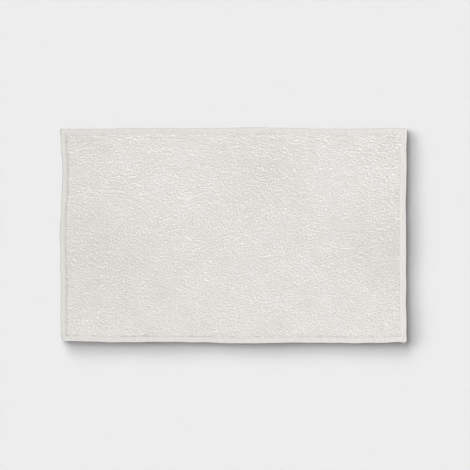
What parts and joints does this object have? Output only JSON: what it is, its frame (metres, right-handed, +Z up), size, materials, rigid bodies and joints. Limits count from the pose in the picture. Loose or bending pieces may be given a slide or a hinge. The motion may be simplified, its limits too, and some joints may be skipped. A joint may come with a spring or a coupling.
{
  "type": "bath mat",
  "caption": "Rectangular terry bath mat, looped cotton on both faces of a ground cloth, with turned and lockstitched hems along all its edges. Lies flat on the floor.",
  "frame": {"origin": "on the floor, under the middle of the mat", "axes": "+X along the mat's long side, +Y across it towards the rear hem, +Z up through the upper pile"},
  "size_m": [0.8, 0.496, 0.007],
  "materials": {
    "ground_weave": "plain-woven cotton, matt",
    "terry_loops": "soft uncut cotton loops, matt",
    "hem_weave": "fine ribbed cotton weave, matt",
    "sewing_thread": "twisted polyester-cotton thread, slight sheen",
    "label_tape": "blank woven satin tape"
  },
  "bodies": {
    "root": {"ground_cloth": "ground_weave", "face_pile": "terry_loops", "reverse_pile": "terry_loops", "hem_left": "hem_weave", "hem_right": "hem_weave", "hem_front": "hem_weave", "hem_rear": "hem_weave", "needle_thread_left": "sewing_thread", "needle_thread_right": "sewing_thread", "needle_thread_front": "sewing_thread", "needle_thread_rear": "sewing_thread", "bobbin_thread_left": "sewing_thread", "bobbin_thread_right": "sewing_thread", "bobbin_thread_front": "sewing_thread", "bobbin_thread_rear": "sewing_thread", "corner_tacks": "sewing_thread", "care_label": "label_tape"}
  },
  "joints": []
}
